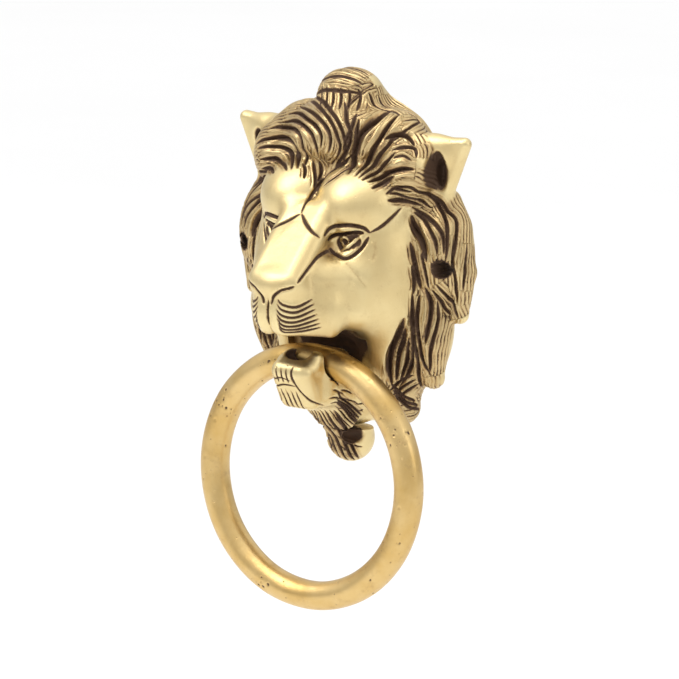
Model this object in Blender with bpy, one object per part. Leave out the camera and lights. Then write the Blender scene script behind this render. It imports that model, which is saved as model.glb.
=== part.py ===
"""Door knocker: a hollow cast lion mask with a ring in its mouth.

Metres, +Z up. The face looks along -Y, the door's surface is the plane Y = 0, and the origin is
on the flat rim at the top of the mask. The lower jaw is a casting of its own, because a closed
ring can only be caught between two pieces. Two screws inside the hollow hold it.

The head is modelled like clay: lumps blended into each other as one smooth field, which is then
meshed, hollowed and machined with Booleans. Lump centres and sizes are in millimetres on a head
99 wide, 126 high and 58 deep, measured from the middle of the screw holes at the door, and the
driving dimensions below stretch them.
"""

import math

import bmesh
import bpy
import numpy as np
from mathutils import Matrix

# Driving dimensions
HEAD_WIDTH = 0.099  # across the mane at the screw holes
HEAD_HEIGHT = 0.126  # mask alone, crown to the mane under the jaw
HEAD_DEPTH = 0.058  # door to the tip of the nose
WALL = 0.0045  # thickness of the hollow casting
RING_DIAMETER = 0.0948  # outside
WIRE_DIAMETER = 0.0103
TROUGH_CLEARANCE = 0.0004  # around the wire, in the jaw's trough
GAP = 0.0003  # between pieces that touch
HOLE_DIAMETER = 0.0062  # wood screws into the door
BOSS_DIAMETER = 0.013  # solid metal round each of those holes
SCREW_DIAMETER = 0.004  # the two screws that hold the jaw
SCREW_HEAD_HIGH = 0.0026
WASHER_THICK = 0.0008

# Places on the head, in its own millimetres
NOMINAL_HEAD = (99.0, 58.0, 126.0)
MOUNT_HEIGHT = 62.0  # the middle of the rim's flat at the crown
SCREW_HOLE_X = 43.0
PIVOT = (-29.0, -34.75)  # Y and Z of the ring's swing axis
JAW_ROOM_X = 17.5  # half the width of the flat that the jaw sits on
SEAT_Y = -17.4  # that flat
SEAT_BACK_Y = -13.0  # the flat under the washers, inside the hollow
TROUGH_REACH = 22.0  # the trough runs this far to each side
CHIN_Z = -61.3  # the mask ends here behind the jaw
JAW_SCREW_X = 6.2
JAW_SCREW_Z = -47.0

# Mesh fineness
MASK_STEP = 0.0021
JAW_STEP = 0.0013
MASK_TRIANGLES = 8200
JAW_TRIANGLES = 2600

STRETCH = np.array([HEAD_WIDTH, HEAD_DEPTH, HEAD_HEIGHT]) / np.array(NOMINAL_HEAD)
WIRE_R = WIRE_DIAMETER / 2
RING_R = RING_DIAMETER / 2 - WIRE_R


def on_head(x, y, z):
    """A place given in the head's millimetres, in metres from the mount."""
    return np.array([x, y, z - MOUNT_HEIGHT]) * STRETCH


SWING_AXIS = on_head(0.0, *PIVOT)


def jaw_screw_places():
    """X and Z of the two screws that hold the jaw, left then right."""
    x, _, z = on_head(JAW_SCREW_X, 0, JAW_SCREW_Z)
    return ((-x, z), (x, z))


# ---------------------------------------------------------------- clay


def turned(points, centre, tilt, yaw=0.0):
    """Points seen from centre, turned about Z by yaw and then about X by tilt, in degrees."""
    local = points - np.array(centre)
    x, y, z = local[..., 0], local[..., 1], local[..., 2]
    c, s = math.cos(math.radians(yaw)), math.sin(math.radians(yaw))
    x, y = x * c + y * s, y * c - x * s
    c, s = math.cos(math.radians(tilt)), math.sin(math.radians(tilt))
    return np.stack([x, y * c + z * s, z * c - y * s], -1)


def lump(points, centre, radii, tilt=0.0):
    """Distance to an ellipsoid, near enough for blending."""
    local = turned(points, centre, tilt)
    radii = np.array(radii)
    near = np.sqrt(((local / radii) ** 2).sum(-1))
    slope = np.sqrt(((local / radii**2) ** 2).sum(-1)) + 1e-9
    return near * (near - 1) / slope


def roll(points, start, end, start_r, end_r):
    """Distance to a tapered sausage from start to end."""
    start, end = np.array(start, float), np.array(end, float)
    along = end - start
    share = np.clip(((points - start) @ along) / (along @ along), 0, 1)
    reach = np.linalg.norm(points - start - share[..., None] * along, axis=-1)
    return reach - (start_r + (end_r - start_r) * share)


def tall_roll(points, start, end, start_r, end_r, tall):
    """A sausage stretched upwards."""
    squash = np.array([1, 1, 1 / tall])
    return roll(points * squash, start * squash, end * squash, start_r, end_r)


def block(points, centre, half, edge, tilt=0.0, yaw=0.0):
    """Distance to a box with rounded edges."""
    local = np.abs(turned(points, centre, tilt, yaw)) - (np.array(half) - edge)
    outside = np.linalg.norm(np.maximum(local, 0), axis=-1)
    return outside + np.minimum(local.max(-1), 0) - edge


def leaf(points, corners, half_thick):
    """Distance to a triangular plate with round edges."""
    corners = [np.array(corner, float) for corner in corners]
    sides = [corners[(i + 1) % 3] - corners[i] for i in range(3)]
    normal = np.cross(sides[0], -sides[2])
    within = np.ones(points.shape[:-1], bool)
    edge = np.full(points.shape[:-1], np.inf)
    for corner, side in zip(corners, sides):
        local = points - corner
        within &= local @ np.cross(normal, side) > 0
        share = np.clip((local @ side) / (side @ side), 0, 1)
        edge = np.minimum(edge, ((local - share[..., None] * side) ** 2).sum(-1))
    face = ((points - corners[0]) @ normal) ** 2 / (normal @ normal)
    return np.sqrt(np.where(within, face, edge)) - half_thick


def join(a, b, soft):
    """Union with a fillet."""
    blend = np.maximum(soft - np.abs(a - b), 0) / soft
    return np.minimum(a, b) - blend**2 * soft / 4


def carve(a, b, soft):
    """What is left of a without b."""
    return -join(-a, b, soft)


def mane(points, half):
    form = lump(half, (0, 2, -3), (40, 24, 58))
    form = join(form, lump(half, (0, 2, 20), (37, 22, 36.5)), 4)
    form = join(form, lump(points, (-2.2, -8, 56.2), (12, 11, 9.4)), 5)  # crown tuft
    form = join(form, lump(half, (19.5, -9, 45), (9.5, 9, 7.8)), 4)
    form = join(form, lump(half, (0, -13, 41), (24, 16, 13), -25), 6)  # forelock
    form = join(form, lump(half, (27, -12, 33), (11, 12, 13)), 6)
    form = join(form, lump(half, (36.5, -6, 4), (12.5, 11, 19)), 6)
    form = join(form, roll(half, (38.5, -4.5, 22), (41.6, -4.5, 14), 4.5, 5), 3)  # outer lock
    form = join(form, roll(half, (41.6, -4.5, 14), (45, -4.5, -2), 5, 5), 1)
    form = join(form, roll(half, (45, -4.5, -2), (44.5, -4.5, -17), 5, 3.2), 1)
    form = join(form, lump(half, (33.2, -7, -22), (9, 9, 18.5)), 3)
    form = join(form, roll(half, (30, -7, -25), (34.5, -5, -40.5), 7, 4), 3)  # side tips
    form = join(form, roll(half, (22, -9, -38), (22, -6, -52), 9, 6.6), 4)  # lower tips
    return join(form, lump(half, (0, -9, -46), (18.5, 10, 15)), 4)


def with_ears(form, half):
    ear = leaf(half, ((47.3, -8.5, 43.5), (27, -10, 42), (37, -7, 19)), 2.4)
    ear = join(ear, lump(half, (35, -9.5, 40), (8, 4, 6)), 3)
    form = join(form, ear, 2.5)
    return carve(form, lump(half, (38.5, -15, 33), (5.5, 5.5, 9.5)), 2)


def with_face(form, half):
    form = join(form, lump(half, (0, -12, 6), (27, 20, 30)), 5)
    form = join(form, lump(half, (12, -16, 22), (17, 20.5, 14.5), 15), 2)  # forehead
    form = join(form, lump(half, (15, -24, 8), (9, 9, 8)), 5)  # under the brow
    form = join(form, lump(half, (23, -14, 2), (8.5, 13, 22)), 6)  # temple
    form = join(form, lump(half, (19, -18, -8), (11, 15, 18)), 7)  # cheek
    form = join(form, roll(half, (21, -15, -15), (16, -12, -42), 9, 6), 5)  # jowl
    form = join(form, block(half, (11.8, -34, -9.5), (14.5, 8.5, 13), 8, 0, 53.8), 5)  # flank
    form = join(form, tall_roll(half, (3, -51, -14.5), (12.5, -38.5, -15), 6.2, 6.8, 1.5), 2)
    form = join(form, block(half, (0, -38.8, 3), (11, 9.5, 19), 5, -41.5), 3)  # bridge
    form = join(form, lump(half, (0, -49.5, -6), (10.8, 8.5, 6.5)), 2)  # nose
    return carve(form, lump(half, (0, -36, -33), (20, 22, 11)), 2)  # open mouth


def head_field(points):
    """The mask's outside, in the head's millimetres. Negative is inside the metal."""
    half = points.copy()
    half[..., 0] = np.abs(half[..., 0])
    return with_face(with_ears(mane(points, half), half), half)


def pillar_field(points):
    """Metal that stays solid inside the hollow: round the screw holes and behind the jaw."""
    x, y, z = np.abs(points[..., 0]), points[..., 1], points[..., 2]
    boss_r = BOSS_DIAMETER / 2 * 1000
    boss = np.hypot(x - SCREW_HOLE_X, z) - boss_r
    centre = np.stack([x, y - SEAT_Y, z - JAW_SCREW_Z], -1)
    pad = np.abs(centre) - np.array([13.0, SEAT_BACK_Y - SEAT_Y + 1.0, 7.5])
    return np.minimum(boss, pad.max(-1))


def core_field(points):
    """The foundry's core, which leaves the hollow: plainer than the outside."""
    form = lump(points, (0, 6, -3), (44, 22, 54))
    form = join(form, lump(points, (0, -10, 0), (20, 16, 24)), 8)
    return join(form, lump(points, (0, -24, -8), (9, 15, 10)), 8)


def mask_field(points):
    """The hollow casting. It runs past the door's plane, where a Boolean trims it."""
    outside = head_field(points)
    hollow = -join(-core_field(points), -outside - WALL * 1000, 6)
    hollow = np.maximum(hollow, -pillar_field(points))
    return np.maximum(np.maximum(outside, -hollow), points[..., 1] - 5)


def jaw_field(points):
    """Chin, front lip and beard, before the trough is cut."""
    half = points.copy()
    half[..., 0] = np.abs(half[..., 0])
    form = block(half, (0, -35.5, -41.5), (8.5, 7, 9.5), 4, 28)  # front of the chin
    form = join(form, block(half, (0, -27, -41), (11.5, 8, 10), 5), 3)  # round the trough
    form = join(form, lump(half, (0, -19, -46), (16, 11, 10)), 4)
    form = join(form, lump(points, (2, -15, -53), (12, 9, 8)), 4)
    form = join(form, roll(points, (1, -14, -55), (1.5, -10, -62), 8.5, 7.5), 4)  # beard
    form = join(form, roll(points, (7, -8, -61), (10, -7.5, -57.5), 3.4, 2.4), 2)  # curl
    return join(form, lump(points, (1.2, -7.5, -65.4), (8.8, 8, 8.8)), 2)


# ---------------------------------------------------------------- meshing


def crossings(values, spots):
    """For each grid cell, the mean of the places where its edges cross the surface."""
    cells = np.array(values.shape) - 1
    total = np.zeros((*cells, 3))
    count = np.zeros(cells)
    for axis in range(3):
        near = [slice(None)] * 3
        far = [slice(None)] * 3
        near[axis], far[axis] = slice(0, -1), slice(1, None)
        a, b = values[tuple(near)], values[tuple(far)]
        hit = (a < 0) != (b < 0)
        share = np.where(hit, a / np.where(hit, a - b, 1), 0)[..., None]
        place = spots[tuple(near)] * (1 - share) + spots[tuple(far)] * share
        others = [i for i in range(3) if i != axis]
        for shift in range(4):
            window = [slice(None)] * 3
            for bit, other in enumerate(others):
                start = (shift >> bit) & 1
                window[other] = slice(start, start + cells[other])
            seen = hit[tuple(window)]
            total += place[tuple(window)] * seen[..., None]
            count += seen
    return total, count


def netted(field, low, high, step):
    """Surface net of a field: points, and quads that face outwards."""
    axes = [np.arange(a, b + step, step) for a, b in zip(low, high)]
    spots = np.stack(np.meshgrid(*axes, indexing="ij"), -1)
    values = field(spots)
    total, count = crossings(values, spots)
    used = count > 0
    index = np.full(count.shape, -1)
    index[used] = np.arange(used.sum())
    points = total[used] / count[used][:, None]
    quads = []
    for axis in range(3):
        second, third = (axis + 1) % 3, (axis + 2) % 3
        near = [slice(1, -1)] * 3
        far = [slice(1, -1)] * 3
        near[axis], far[axis] = slice(0, -1), slice(1, None)
        inside = values[tuple(near)] < 0
        hit = inside != (values[tuple(far)] < 0)
        at = np.argwhere(hit)
        at[:, [second, third]] += 1
        corners = []
        for back in ((1, 1), (0, 1), (0, 0), (1, 0)):
            cell = at.copy()
            cell[:, second] -= back[0]
            cell[:, third] -= back[1]
            corners.append(index[tuple(cell.T)])
        faces = np.stack(corners, 1)
        outward = inside[hit]
        quads.append(np.where(outward[:, None], faces, faces[:, ::-1]))
    return points, np.concatenate(quads)


def settled(points, field, step):
    """Points moved onto the surface along the field's slope, by less than half a cell."""
    for _ in range(2):
        slope = np.zeros_like(points)
        for axis in range(3):
            nudge = np.zeros(3)
            nudge[axis] = step / 8
            slope[:, axis] = (field(points + nudge) - field(points - nudge)) / (step / 4)
        size = (slope**2).sum(1, keepdims=True) + 1e-9
        move = -field(points)[:, None] * slope / size
        points = points + np.clip(move, -step / 4, step / 4)
    return points


def clay_object(name, field, low, high, step, triangles):
    """An object with the mesh of a field that is given in the head's millimetres."""
    step = step * 1000
    points, quads = netted(field, low, high, step)
    points = settled(points, field, step)
    points = (points - np.array([0, 0, MOUNT_HEIGHT])) * STRETCH
    mesh = bpy.data.meshes.new(name)
    mesh.from_pydata(points.tolist(), [], quads.tolist())
    piece = bpy.data.objects.new(name, mesh)
    bpy.context.scene.collection.objects.link(piece)
    thin = piece.modifiers.new("Decimate", "DECIMATE")
    thin.ratio = min(1.0, triangles / (2 * len(quads)))
    return piece


# ---------------------------------------------------------------- tools


def clear_scene():
    for piece in list(bpy.data.objects):
        bpy.data.objects.remove(piece, do_unlink=True)


def brass(name, colour, roughness):
    material = bpy.data.materials.new(name)
    material.use_nodes = True
    shader = material.node_tree.nodes["Principled BSDF"]
    shader.inputs["Base Color"].default_value = (*colour, 1.0)
    shader.inputs["Roughness"].default_value = roughness
    shader.inputs["Metallic"].default_value = 1.0
    material.diffuse_color = (*colour, 1.0)
    return material


def linked(name, form):
    """An object that shows a bmesh, which is freed."""
    mesh = bpy.data.meshes.new(name)
    form.to_mesh(mesh)
    form.free()
    piece = bpy.data.objects.new(name, mesh)
    bpy.context.scene.collection.objects.link(piece)
    return piece


def cylinder(name, radius, start_y, end_y, x=0.0, z=0.0, segments=32):
    """A cylinder along Y between two planes, with its origin in the middle."""
    form = bmesh.new()
    turn = Matrix.Rotation(math.radians(90), 4, "X")
    bmesh.ops.create_cone(
        form,
        cap_ends=True,
        segments=segments,
        radius1=radius,
        radius2=radius,
        depth=abs(end_y - start_y),
        matrix=turn,
    )
    piece = linked(name, form)
    piece.location = (x, (start_y + end_y) / 2, z)
    return piece


def cuboid(name, low, high):
    form = bmesh.new()
    size = Matrix.Diagonal((*(np.array(high) - np.array(low)), 1.0))
    bmesh.ops.create_cube(form, size=1.0, matrix=size)
    piece = linked(name, form)
    piece.location = (np.array(high) + np.array(low)) / 2
    return piece


def cut(piece, tool):
    """Takes the tool out of the piece with a live Boolean, and hides the tool."""
    tool.hide_render = True
    tool.display_type = "WIRE"
    boolean = piece.modifiers.new("Cut " + tool.name, "BOOLEAN")
    boolean.operation = "DIFFERENCE"
    boolean.object = tool


def smooth(piece, angle=40):
    piece.data.shade_smooth()
    piece.data.set_sharp_from_angle(angle=math.radians(angle))


def dressed(piece, material, angle=40):
    piece.data.materials.append(material)
    smooth(piece, angle)
    return piece


# ---------------------------------------------------------------- pieces


def lion_mask(material):
    mask = clay_object("lion_mask", mask_field, (-54, -64, -66), (54, 8, 70), MASK_STEP, MASK_TRIANGLES)
    dressed(mask, material, 60)
    far = 0.1
    cut(mask, cuboid("door_trim", (-far, 0, -2 * far), (far, far, far)))
    room_x = JAW_ROOM_X * STRETCH[0]
    seat = on_head(0, SEAT_Y, -27.0)
    cut(mask, cuboid("jaw_room", (-room_x, -far, -2 * far), (room_x, seat[1], seat[2])))
    chin_z = on_head(0, 0, CHIN_Z)[2]
    cut(mask, cuboid("chin_trim", (-room_x, -far, -2 * far), (room_x, far / 2, chin_z)))
    hole = on_head(SCREW_HOLE_X, 0, 0)
    for side, name in ((-1, "left_screw_hole"), (1, "right_screw_hole")):
        cut(mask, cylinder(name, HOLE_DIAMETER / 2, -far / 2, far / 10, side * hole[0], hole[2]))
    seat_back = on_head(0, SEAT_BACK_Y, 0)[1]
    bore_r = SCREW_DIAMETER / 2 + GAP
    seat_r = SCREW_DIAMETER * 1.3
    for number, (x, z) in enumerate(jaw_screw_places(), 1):
        cut(mask, cylinder(f"screw_bore_{number}", bore_r, -far / 2, 0, x, z))
        cut(mask, cylinder(f"washer_seat_{number}", seat_r, seat_back, far / 10, x, z))
    return mask


def trough_tool():
    """The space that the ring's top sweeps as it swings: the wire, spun about the swing axis."""
    reach = TROUGH_REACH * STRETCH[0]
    steps = 24
    form = bmesh.new()
    start = None
    profile = []
    for i in range(steps + 1):
        x = reach * (2 * i / steps - 1)
        sag = RING_R - math.sqrt(RING_R**2 - x**2)
        profile.append(form.verts.new((x, 0, WIRE_R + TROUGH_CLEARANCE + sag)))
    ends = [form.verts.new((-reach, 0, 0)), form.verts.new((reach, 0, 0))]
    chain = [ends[0], *profile, ends[1]]
    edges = [form.edges.new(pair) for pair in zip(chain, chain[1:])]
    bmesh.ops.spin(
        form,
        geom=edges,
        cent=(0, 0, 0),
        axis=(1, 0, 0),
        angle=math.tau,
        steps=40,
        use_merge=True,
    )
    bmesh.ops.remove_doubles(form, verts=form.verts, dist=1e-6)
    bmesh.ops.recalc_face_normals(form, faces=form.faces)
    piece = linked("trough_tool", form)
    piece.location = SWING_AXIS
    return piece


def lower_jaw(material):
    jaw = clay_object("lower_jaw", jaw_field, (-20, -48, -78), (20, 2, -24), JAW_STEP, JAW_TRIANGLES)
    dressed(jaw, material, 60)
    far = 0.1
    seat = on_head(0, SEAT_Y, CHIN_Z)
    cut(jaw, cuboid("mask_room", (-far, seat[1] - GAP, seat[2] - GAP), (far, far, far)))
    cut(jaw, trough_tool())
    slot = WIRE_R + TROUGH_CLEARANCE
    axis_y, axis_z = SWING_AXIS[1], SWING_AXIS[2]
    cut(jaw, cuboid("drop_in_slot", (-far, axis_y - slot, axis_z), (far, axis_y + slot, far)))
    depth = on_head(0, SEAT_Y - 10.0, 0)[1]
    bore_r = SCREW_DIAMETER / 2 + GAP
    for number, (x, z) in enumerate(jaw_screw_places(), 1):
        cut(jaw, cylinder(f"jaw_bore_{number}", bore_r, depth, 0, x, z))
    return jaw


def ring(material):
    form = bmesh.new()
    around, across = 60, 12
    loops = []
    for i in range(around):
        turn = math.tau * i / around
        loop = []
        for j in range(across):
            roll_angle = math.tau * j / across
            reach = RING_R + WIRE_R * math.cos(roll_angle)
            y = WIRE_R * math.sin(roll_angle)
            loop.append(form.verts.new((reach * math.sin(turn), y, reach * math.cos(turn) - RING_R)))
        loops.append(loop)
    for i in range(around):
        here, there = loops[i], loops[(i + 1) % around]
        for j in range(across):
            k = (j + 1) % across
            form.faces.new((here[j], there[j], there[k], here[k]))
    bmesh.ops.recalc_face_normals(form, faces=form.faces)
    piece = linked("ring", form)
    piece.location = SWING_AXIS
    return dressed(piece, material, 80)


def jaw_screw(number, x, z, material):
    """Cheese-head screw with a slot, from inside the hollow into the jaw."""
    washer_y = on_head(0, SEAT_BACK_Y, 0)[1] + GAP + WASHER_THICK
    head_y = washer_y + GAP
    end_y = on_head(0, SEAT_Y - 9.0, 0)[1]
    top_y = head_y + SCREW_HEAD_HIGH
    screw = cylinder(f"jaw_screw_{number}", SCREW_DIAMETER * 0.9, head_y, top_y, x, z, 24)
    shank = cylinder(f"shank_{number}", SCREW_DIAMETER / 2, end_y, head_y + 0.001, x, z, 16)
    shank.hide_render = True
    shank.display_type = "WIRE"
    union = screw.modifiers.new("Shank", "BOOLEAN")
    union.operation = "UNION"
    union.object = shank
    slot_x, slot_z, slot_deep = 0.0005, 0.01, 0.001
    low = (x - slot_x, top_y - slot_deep, z - slot_z)
    high = (x + slot_x, top_y + 0.005, z + slot_z)
    cut(screw, cuboid(f"slot_{number}", low, high))
    return dressed(screw, material, 30)


def jaw_washer(number, x, z, material):
    start_y = on_head(0, SEAT_BACK_Y, 0)[1] + GAP
    end_y = start_y + WASHER_THICK
    washer = cylinder(f"jaw_washer_{number}", SCREW_DIAMETER * 1.1, start_y, end_y, x, z, 24)
    bore = SCREW_DIAMETER / 2 + GAP
    cut(washer, cylinder(f"washer_bore_{number}", bore, start_y - 0.01, end_y + 0.01, x, z, 16))
    return dressed(washer, material, 30)


def main():
    clear_scene()
    antique = brass("antique_brass", (0.72, 0.52, 0.22), 0.32)
    satin = brass("satin_brass", (0.68, 0.46, 0.19), 0.30)
    plain = brass("plain_brass", (0.60, 0.44, 0.20), 0.35)
    lion_mask(antique)
    lower_jaw(antique)
    ring(satin)
    for number, (x, z) in enumerate(jaw_screw_places(), 1):
        jaw_screw(number, x, z, plain)
        jaw_washer(number, x, z, plain)


main()
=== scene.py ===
"""Looks of a cast brass door knocker: a lion's mask with a ring between its jaws.

The mask and the lower jaw are modelled as clay fields in millimetres, with Z = 0 at the height of
the screw holes and the door's plane at Y = 0, then meshed finely, worked with engraved strokes and
machined with Booleans. The frame's origin is on the rim at the crown, MOUNT_HEIGHT above Z = 0.
"""

import math
from typing import NamedTuple

import bmesh
import bpy
import numpy as np
from bpy.props import FloatProperty, FloatVectorProperty, IntProperty, PointerProperty
from bpy.types import Operator, Panel, PropertyGroup
from mathutils import Matrix, Vector, kdtree


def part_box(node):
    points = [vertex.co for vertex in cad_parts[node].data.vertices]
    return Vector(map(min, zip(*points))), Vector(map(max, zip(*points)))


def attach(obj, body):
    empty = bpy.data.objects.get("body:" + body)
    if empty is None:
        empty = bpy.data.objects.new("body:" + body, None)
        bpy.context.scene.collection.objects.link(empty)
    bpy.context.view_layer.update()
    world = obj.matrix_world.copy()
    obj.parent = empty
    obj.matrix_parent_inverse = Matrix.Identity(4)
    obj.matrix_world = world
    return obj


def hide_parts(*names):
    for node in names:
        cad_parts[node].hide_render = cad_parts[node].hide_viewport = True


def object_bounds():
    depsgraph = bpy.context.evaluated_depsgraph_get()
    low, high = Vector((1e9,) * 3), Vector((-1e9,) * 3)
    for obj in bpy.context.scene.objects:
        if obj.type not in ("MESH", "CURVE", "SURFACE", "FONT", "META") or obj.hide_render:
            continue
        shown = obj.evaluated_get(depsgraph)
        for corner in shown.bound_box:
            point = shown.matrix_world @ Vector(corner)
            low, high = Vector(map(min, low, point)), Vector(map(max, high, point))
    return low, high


bl_info = {
    "name": "Lion Door Knocker",
    "version": (1, 0, 0),
    "blender": (4, 5, 0),
    "location": "3D View > Sidebar > Knocker",
    "description": "Cast lion mask, lower jaw, ring and fixings in antique brass",
    "category": "Object",
}

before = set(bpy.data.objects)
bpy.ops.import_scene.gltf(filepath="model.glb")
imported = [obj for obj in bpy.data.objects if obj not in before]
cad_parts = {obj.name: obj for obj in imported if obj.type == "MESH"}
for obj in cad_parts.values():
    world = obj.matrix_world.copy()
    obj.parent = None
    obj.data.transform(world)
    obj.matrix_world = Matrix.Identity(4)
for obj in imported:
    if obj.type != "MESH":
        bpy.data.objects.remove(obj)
CAD_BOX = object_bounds()

MOUNT_HEIGHT = 62.0  # from the screw holes up to the frame's origin
MM = 0.001

# Places on the head, in its own millimetres
SCREW_HOLE_X = 43.0
BOSS_R = 6.5
SCREW_HOLE_R = 3.1
JAW_BORE_R = 2.3
WASHER_SEAT_R = 5.2
PIVOT = (-29.0, -34.75)  # Y and Z of the ring's swing axis
JAW_ROOM_X = 17.5
SEAT_Y = -17.4
SEAT_BACK_Y = -13.0
ROOM_TOP_Z = -27.0
CHIN_Z = -61.3
JAW_SCREW_X = 6.2
JAW_SCREW_Z = -47.0
MOUTH = ((0, -36, -33), (20, 22, 11))  # centre and radii, as for the other carved places
EAR = ((47.3, -8.5, 43.5), (27, -10, 42), (37, -7, 19))  # corners of the plate
EAR_HALF_THICK = 2.4
EAR_SLOT = ((38.8, -13.5, 33), (2.5, 5.5, 7.4))
TEAR = (11.8, -37, 5.4)  # the eye's inner corner
LIP_NOTCH = ((0, -37, -33), (5.2, 3.6, 3.2))
BEARD_NICK = ((7, -14, -63.5), (4, 3, 2.4))
WALL = 4.5
GAP = 0.3
FAR = 100.0  # beyond everything
HEAD_SPAN = ((-54, -64, -66), (54, 8, 70))
JAW_SPAN = ((-20, -48, -78), (20, 2, -24))
TROUGH_REACH = 22.0
TROUGH_CLEARANCE = 0.4
COMB_PITCH = 1.45  # the comb lines between two locks
COMB_DEPTH = 0.5

RING_LOW, RING_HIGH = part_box("ring")
WIRE_R = (RING_HIGH.y - RING_LOW.y) / 2 / MM
RING_R = (RING_HIGH.x - RING_LOW.x) / 2 / MM - WIRE_R


# ---------------------------------------------------------------- clay


def turned(points, centre, tilt, yaw=0.0):
    """Points seen from centre, turned about Z by yaw and then about X by tilt, in degrees."""
    local = points - np.array(centre)
    x, y, z = local[..., 0], local[..., 1], local[..., 2]
    c, s = math.cos(math.radians(yaw)), math.sin(math.radians(yaw))
    x, y = x * c + y * s, y * c - x * s
    c, s = math.cos(math.radians(tilt)), math.sin(math.radians(tilt))
    return np.stack([x, y * c + z * s, z * c - y * s], -1)


def lump(points, centre, radii, tilt=0.0):
    """Distance to an ellipsoid, near enough for blending."""
    local = turned(points, centre, tilt)
    radii = np.array(radii)
    near = np.sqrt(((local / radii) ** 2).sum(-1))
    slope = np.sqrt(((local / radii**2) ** 2).sum(-1)) + 1e-9
    return near * (near - 1) / slope


def roll(points, start, end, start_r, end_r):
    """Distance to a tapered sausage from start to end."""
    start, end = np.array(start, float), np.array(end, float)
    along = end - start
    share = np.clip(((points - start) @ along) / (along @ along), 0, 1)
    reach = np.linalg.norm(points - start - share[..., None] * along, axis=-1)
    return reach - (start_r + (end_r - start_r) * share)


def tall_roll(points, start, end, start_r, end_r, tall):
    """A sausage stretched upwards."""
    squash = np.array([1, 1, 1 / tall])
    return roll(points * squash, start * squash, end * squash, start_r, end_r)


def block(points, centre, half, edge, tilt=0.0, yaw=0.0):
    """Distance to a box with rounded edges."""
    local = np.abs(turned(points, centre, tilt, yaw)) - (np.array(half) - edge)
    outside = np.linalg.norm(np.maximum(local, 0), axis=-1)
    return outside + np.minimum(local.max(-1), 0) - edge


def leaf(points, corners, half_thick):
    """Distance to a triangular plate with round edges."""
    corners = [np.array(corner, float) for corner in corners]
    sides = [corners[(i + 1) % 3] - corners[i] for i in range(3)]
    normal = np.cross(sides[0], -sides[2])
    within = np.ones(points.shape[:-1], bool)
    edge = np.full(points.shape[:-1], np.inf)
    for corner, side in zip(corners, sides):
        local = points - corner
        within &= local @ np.cross(normal, side) > 0
        share = np.clip((local @ side) / (side @ side), 0, 1)
        edge = np.minimum(edge, ((local - share[..., None] * side) ** 2).sum(-1))
    face = ((points - corners[0]) @ normal) ** 2 / (normal @ normal)
    return np.sqrt(np.where(within, face, edge)) - half_thick


def join(a, b, soft):
    """Union with a fillet."""
    blend = np.maximum(soft - np.abs(a - b), 0) / soft
    return np.minimum(a, b) - blend**2 * soft / 4


def carve(a, b, soft):
    """What is left of a without b."""
    return -join(-a, b, soft)


def mirrored(points):
    half = points.copy()
    half[..., 0] = np.abs(half[..., 0])
    return half


def mane(points, half):
    form = lump(half, (0, 2, -3), (40, 24, 58))
    form = join(form, lump(half, (0, 2, 20), (37, 22, 36.5)), 4)
    form = join(form, lump(points, (-2.2, -8, 56.2), (12, 11, 9.4)), 5)  # crown tuft
    form = join(form, lump(half, (19.5, -9, 45), (9.5, 9, 7.8)), 4)
    form = join(form, lump(half, (0, -13, 41), (24, 16, 13), -25), 6)  # forelock
    form = join(form, lump(half, (27, -12, 33), (11, 12, 13)), 6)
    form = join(form, lump(half, (36.5, -6, 4), (12.5, 11, 19)), 6)
    form = join(form, roll(half, (38.5, -4.5, 22), (41.6, -4.5, 14), 4.5, 5), 3)  # outer lock
    form = join(form, roll(half, (41.6, -4.5, 14), (45, -4.5, -2), 5, 5), 1)
    form = join(form, roll(half, (45, -4.5, -2), (44.5, -4.5, -17), 5, 3.2), 1)
    form = join(form, lump(half, (33.2, -7, -22), (9, 9, 18.5)), 3)
    form = join(form, roll(half, (30, -7, -25), (34.5, -5, -40.5), 7, 4), 3)  # side tips
    form = join(form, roll(half, (22, -9, -38), (22, -6, -52), 9, 6.6), 4)  # lower tips
    return join(form, lump(half, (0, -9, -46), (18.5, 10, 15)), 4)


def with_ears(form, half):
    ear = leaf(half, EAR, EAR_HALF_THICK)
    ear = join(ear, lump(half, (35, -9.5, 40), (8, 4, 6)), 3)
    form = join(form, ear, 2.5)
    return carve(form, lump(half, *EAR_SLOT), 1.5)


def with_face(form, half):
    form = join(form, lump(half, (0, -12, 6), (27, 20, 30)), 5)
    form = join(form, lump(half, (12, -16, 22), (17, 20.5, 14.5), 15), 2)  # forehead
    form = join(form, lump(half, (15, -24, 8), (9, 9, 8)), 5)  # under the brow
    form = join(form, lump(half, (23, -14, 2), (8.5, 13, 22)), 6)  # temple
    form = join(form, lump(half, (19, -18, -8), (11, 15, 18)), 7)  # cheek
    form = join(form, roll(half, (21, -15, -15), (16, -12, -42), 9, 6), 5)  # jowl
    form = join(form, block(half, (11.8, -34, -9.5), (14.5, 8.5, 13), 8, 0, 53.8), 5)  # flank
    form = join(form, tall_roll(half, (3, -51, -14.5), (12.5, -38.5, -15), 6.2, 6.8, 1.5), 2)
    form = join(form, block(half, (0, -38.8, 3), (11, 9.5, 19), 5, -41.5), 3)  # bridge
    form = join(form, lump(half, (0, -49.5, -6), (10.8, 8.5, 6.5)), 2)  # nose
    return carve(form, lump(half, *MOUTH), 2)  # open mouth


def head_field(points):
    """The mask's outside. Negative is inside the metal."""
    half = mirrored(points)
    return with_face(with_ears(mane(points, half), half), half)


def capped_head(points):
    """The mask's outside, closed behind the door's plane."""
    return np.maximum(head_field(points), points[..., 1] - 5)


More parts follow.
